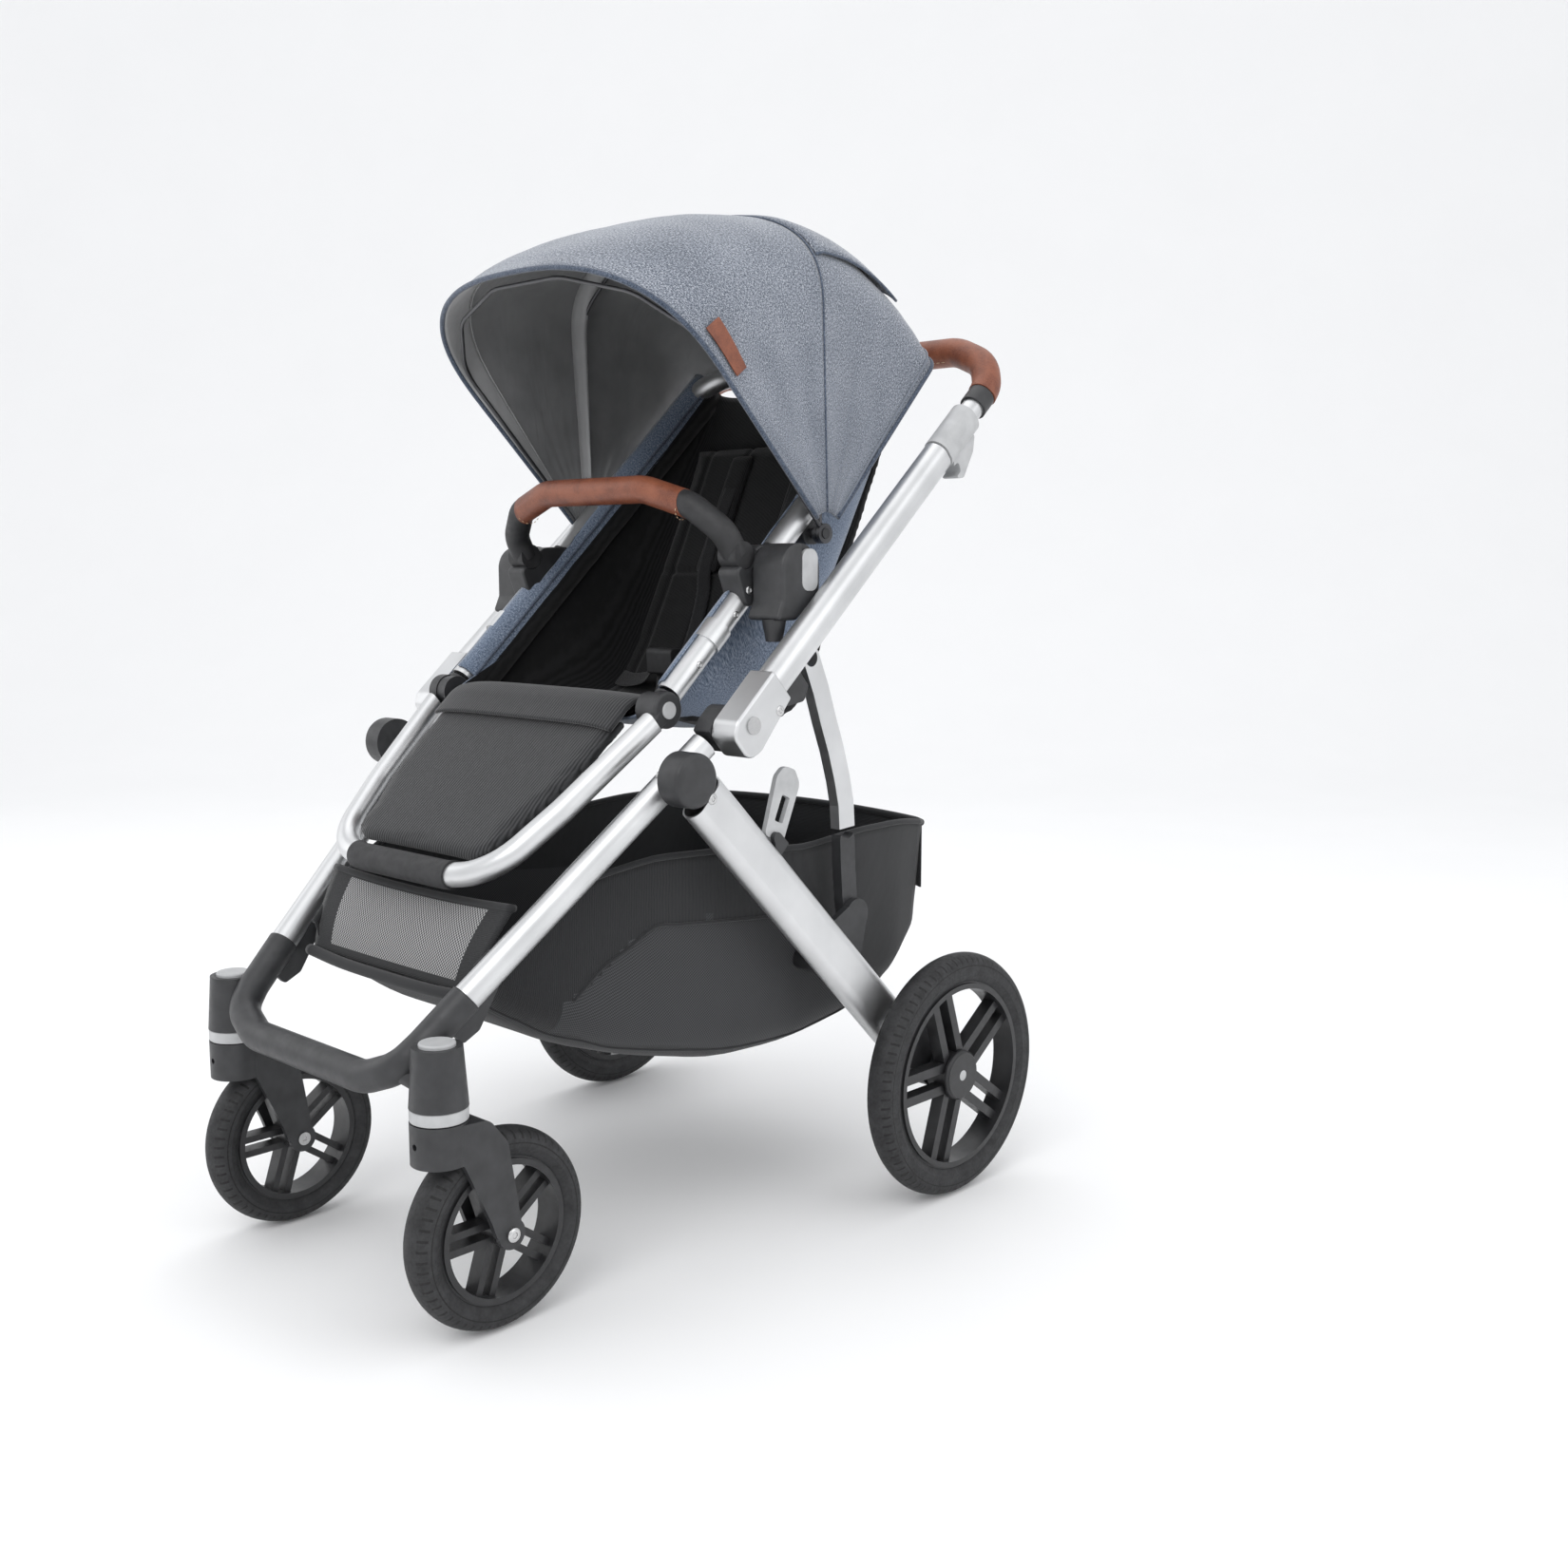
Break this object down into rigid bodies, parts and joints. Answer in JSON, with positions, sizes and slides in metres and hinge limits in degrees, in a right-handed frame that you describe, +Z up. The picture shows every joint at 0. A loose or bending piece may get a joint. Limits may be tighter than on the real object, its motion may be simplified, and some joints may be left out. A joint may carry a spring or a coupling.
{
  "type": "baby stroller",
  "caption": "Full-size baby stroller with a reclining seat, folding fabric canopy, swivel front wheels, extending leather handle, bumper bar, leg rest, under-seat basket and folding frame.",
  "frame": {"origin": "floor level under the middle of the bounding box", "axes": "+X the passenger's left, -Y the front of the stroller, +Z up"},
  "size_m": [0.654, 0.8354, 1.1513],
  "materials": {
    "tyre_black": "matt",
    "black_plastic": "satin",
    "grey_plastic": "satin",
    "silver_aluminium": "satin",
    "black_tube": "satin",
    "steel": "brushed",
    "tan_leather": "satin",
    "canopy_fabric": "woven melange",
    "seat_fabric": "woven",
    "calf_fabric": "fine ribbed",
    "webbing": "woven",
    "basket_fabric": "mesh and woven",
    "rest_rubber": "matt"
  },
  "bodies": {
    "chassis": {"front_casting": "black_plastic", "swivel_rings": "grey_plastic", "lower_tubes": "silver_aluminium", "fold_knuckles": "black_plastic", "pivot_bolts": "steel", "basket": "basket_fabric"},
    "swivel_locks": {"swivel_locks": "grey_plastic"},
    "caster_left": {"caster_fork_left": "black_plastic", "front_axle_left": "steel"},
    "caster_right": {"caster_fork_right": "black_plastic", "front_axle_right": "steel"},
    "front_wheel_left": {"front_tyre_left": "tyre_black", "front_rim_left": "black_plastic"},
    "front_wheel_right": {"front_tyre_right": "tyre_black", "front_rim_right": "black_plastic"},
    "upper_frame": {"upper_tubes": "silver_aluminium", "fold_housings": "black_plastic", "seat_brackets": "black_plastic", "seat_adapters": "black_plastic"},
    "rear_frame": {"rear_legs": "silver_aluminium", "leg_fittings": "black_plastic", "rear_axle_housings": "black_plastic", "rear_axles": "steel", "rear_cross_tube": "black_tube"},
    "fold_link": {"link_arms": "silver_aluminium", "link_sockets": "black_plastic"},
    "rear_wheel_left": {"rear_tyre_left": "tyre_black", "rear_rim_left": "black_plastic"},
    "rear_wheel_right": {"rear_tyre_right": "tyre_black", "rear_rim_right": "black_plastic"},
    "brake_pedal": {"brake_pedal": "black_plastic"},
    "storage_latch": {"storage_latch": "black_plastic"},
    "fold_triggers": {"fold_triggers": "grey_plastic"},
    "handlebar": {"handle_sliders": "silver_aluminium", "handle_sleeves": "black_plastic", "handle_grip": "tan_leather"},
    "handle_button": {"handle_button": "grey_plastic"},
    "adapter_buttons": {"adapter_buttons": "grey_plastic"},
    "seat": {"seat_tubes": "silver_aluminium", "seat_back_hoop": "silver_aluminium", "seat_collars": "black_plastic", "seat_hubs": "black_plastic", "rest_knuckles": "black_plastic", "canopy_clips": "black_plastic", "seat_shell": "seat_fabric", "seat_insert": "seat_fabric", "harness": "webbing", "harness_buckle": "black_plastic", "canopy_rear": "canopy_fabric"},
    "canopy_mid": {"canopy_mid_bow": "black_tube"},
    "canopy_front": {"canopy_front_bow": "black_tube", "canopy_front": "canopy_fabric"},
    "bumper": {"bumper_ends": "black_plastic", "bumper_grip": "tan_leather"},
    "legrest": {"legrest_bar": "silver_aluminium", "legrest_cover": "rest_rubber", "legrest_hubs": "black_plastic", "calf_panel": "calf_fabric"},
    "legrest_button_left": {"legrest_button_left": "grey_plastic"},
    "legrest_button_right": {"legrest_button_right": "grey_plastic"}
  },
  "joints": [
    {"name": "fold", "type": "hinge", "parent": "chassis", "child": "upper_frame", "pos_m": [0, -0.044, 0.585], "axis": [-1, 0, 0], "range_deg": [0, 110], "deforming": ["basket"]},
    {"name": "rear_leg_fold", "type": "hinge", "parent": "chassis", "child": "rear_frame", "pos_m": [0, -0.119, 0.534], "axis": [-1, 0, 0], "range_deg": [0, 80.01]},
    {"name": "link_fold", "type": "hinge", "parent": "rear_frame", "child": "fold_link", "pos_m": [0, 0.155, 0.35], "axis": [1, 0, 0], "range_deg": [0, 20.01]},
    {"name": "swivel_lock_press", "type": "slide", "parent": "chassis", "child": "swivel_locks", "axis": [0, 0, -1], "range_m": [0, 0.003], "stiffness_N_per_m": 900},
    {"name": "swivel_left", "type": "hinge", "parent": "chassis", "child": "caster_left", "pos_m": [0.1943, -0.378, 0.25], "axis": [0, 0, 1], "continuous": true},
    {"name": "swivel_right", "type": "hinge", "parent": "chassis", "child": "caster_right", "pos_m": [-0.1943, -0.378, 0.25], "axis": [0, 0, 1], "continuous": true},
    {"name": "front_wheel_left_spin", "type": "hinge", "parent": "caster_left", "child": "front_wheel_left", "pos_m": [0.1943, -0.31625, 0.1015], "axis": [1, 0, 0], "continuous": true},
    {"name": "front_wheel_right_spin", "type": "hinge", "parent": "caster_right", "child": "front_wheel_right", "pos_m": [-0.1943, -0.31625, 0.1015], "axis": [1, 0, 0], "continuous": true},
    {"name": "rear_wheel_left_spin", "type": "hinge", "parent": "rear_frame", "child": "rear_wheel_left", "pos_m": [0.3095, 0.27175, 0.146], "axis": [1, 0, 0], "continuous": true},
    {"name": "rear_wheel_right_spin", "type": "hinge", "parent": "rear_frame", "child": "rear_wheel_right", "pos_m": [-0.3095, 0.27175, 0.146], "axis": [1, 0, 0], "continuous": true},
    {"name": "brake_press", "type": "hinge", "parent": "rear_frame", "child": "brake_pedal", "pos_m": [-0.25, 0.27175, 0.146], "axis": [-1, 0, 0], "range_deg": [0, 20]},
    {"name": "storage_latch_swing", "type": "hinge", "parent": "rear_frame", "child": "storage_latch", "pos_m": [0.264, 0.007, 0.46], "axis": [1, 0, 0], "range_deg": [-25, 8]},
    {"name": "trigger_pull", "type": "slide", "parent": "upper_frame", "child": "fold_triggers", "axis": [0, 0.7466, 0.6652], "range_m": [0, 0.012], "stiffness_N_per_m": 900},
    {"name": "handle_extend", "type": "slide", "parent": "upper_frame", "child": "handlebar", "axis": [0, 0.7466, 0.6652], "range_m": [0, 0.08]},
    {"name": "handle_button_press", "type": "slide", "parent": "handlebar", "child": "handle_button", "axis": [0, 0, 1], "range_m": [0, 0.003], "stiffness_N_per_m": 900},
    {"name": "adapter_button_press", "type": "slide", "parent": "upper_frame", "child": "adapter_buttons", "axis": [0, 0, 1], "range_m": [0, 0.004], "stiffness_N_per_m": 900},
    {"name": "recline", "type": "hinge", "parent": "upper_frame", "child": "seat", "pos_m": [0, 0.0714, 0.745], "axis": [1, 0, 0], "range_deg": [-50, 0]},
    {"name": "canopy_rear_fold", "type": "hinge", "parent": "seat", "child": "canopy_mid", "pos_m": [0, 0.1514, 0.785], "axis": [1, 0, 0], "range_deg": [-34, 0], "deforming": ["canopy_rear"]},
    {"name": "canopy_front_fold", "type": "hinge", "parent": "canopy_mid", "child": "canopy_front", "pos_m": [0, 0.1514, 0.785], "axis": [1, 0, 0], "range_deg": [-36.01, 0], "deforming": ["canopy_front"]},
    {"name": "bumper_swing", "type": "hinge", "parent": "seat", "child": "bumper", "pos_m": [0, 0.0313, 0.76], "axis": [1, 0, 0], "range_deg": [0, 38]},
    {"name": "legrest_tilt", "type": "hinge", "parent": "seat", "child": "legrest", "pos_m": [0, -0.0858, 0.5985], "axis": [1, 0, 0], "range_deg": [-45, 0]},
    {"name": "legrest_button_left_press", "type": "slide", "parent": "legrest", "child": "legrest_button_left", "axis": [-1, 0, 0], "range_m": [0, 0.002], "stiffness_N_per_m": 900},
    {"name": "legrest_button_right_press", "type": "slide", "parent": "legrest", "child": "legrest_button_right", "axis": [1, 0, 0], "range_m": [0, 0.002], "stiffness_N_per_m": 900}
  ],
  "couplings": [
    {"joint": "rear_leg_fold", "follows": "fold", "ratio": 0.72727},
    {"joint": "link_fold", "follows": "fold", "ratio": 0.18182},
    {"joint": "canopy_front_fold", "follows": "canopy_rear_fold", "ratio": 1.0588},
    {"joint": "legrest_button_right_press", "follows": "legrest_button_left_press", "ratio": 1}
  ]
}
